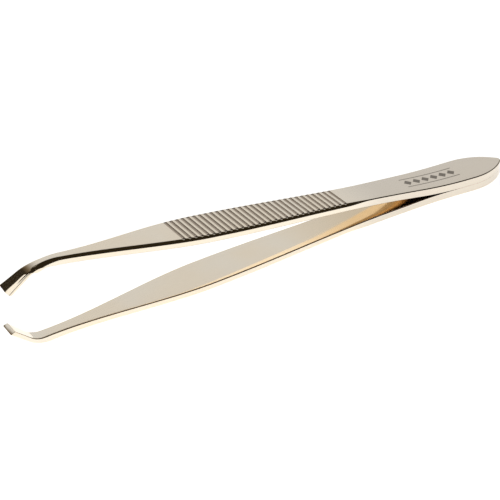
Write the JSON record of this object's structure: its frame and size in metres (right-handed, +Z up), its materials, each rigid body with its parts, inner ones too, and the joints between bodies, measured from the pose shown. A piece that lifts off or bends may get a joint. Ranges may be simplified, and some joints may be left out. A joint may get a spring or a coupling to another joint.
{
  "type": "tweezers",
  "caption": "Slim spring tweezers: two bowed flat blades joined at a pointed tail, cross-ribbed grips and narrow shanks with inward-bent, nearly square claw tips.",
  "frame": {"origin": "centre of the footprint, on the surface that the tweezers lie on", "axes": "+X along the tweezers towards the tail, +Y across the blades, +Z up from the surface; the lower blade lies on the surface on its tail end and on the heel of its claw"},
  "size_m": [0.0892, 0.0074, 0.0134],
  "materials": {
    "pale_gold_plated_steel": "polished pale gold plating with a fine lengthwise satin grain",
    "weld_steel": "bare fused steel, hidden between the tails"
  },
  "bodies": {
    "tail": {"upper_tail_plate": "pale_gold_plated_steel", "lower_tail_plate": "pale_gold_plated_steel", "weld_nuggets": "weld_steel"},
    "upper_side": {"upper_arm": "pale_gold_plated_steel"},
    "lower_side": {"lower_arm": "pale_gold_plated_steel"}
  },
  "joints": [
    {"name": "upper_arm_flex", "type": "hinge", "parent": "tail", "child": "upper_side", "pos_m": [0.02265, 0, 0.00337], "axis": [0, -1, 0], "range_deg": [0, 2.58], "stiffness_Nm_per_rad": 2},
    {"name": "lower_arm_flex", "type": "hinge", "parent": "tail", "child": "lower_side", "pos_m": [0.02257, 0, 0.00206], "axis": [0, 1, 0], "range_deg": [0, 2.58], "stiffness_Nm_per_rad": 2}
  ],
  "couplings": [
    {"joint": "lower_arm_flex", "follows": "upper_arm_flex", "ratio": 1}
  ]
}
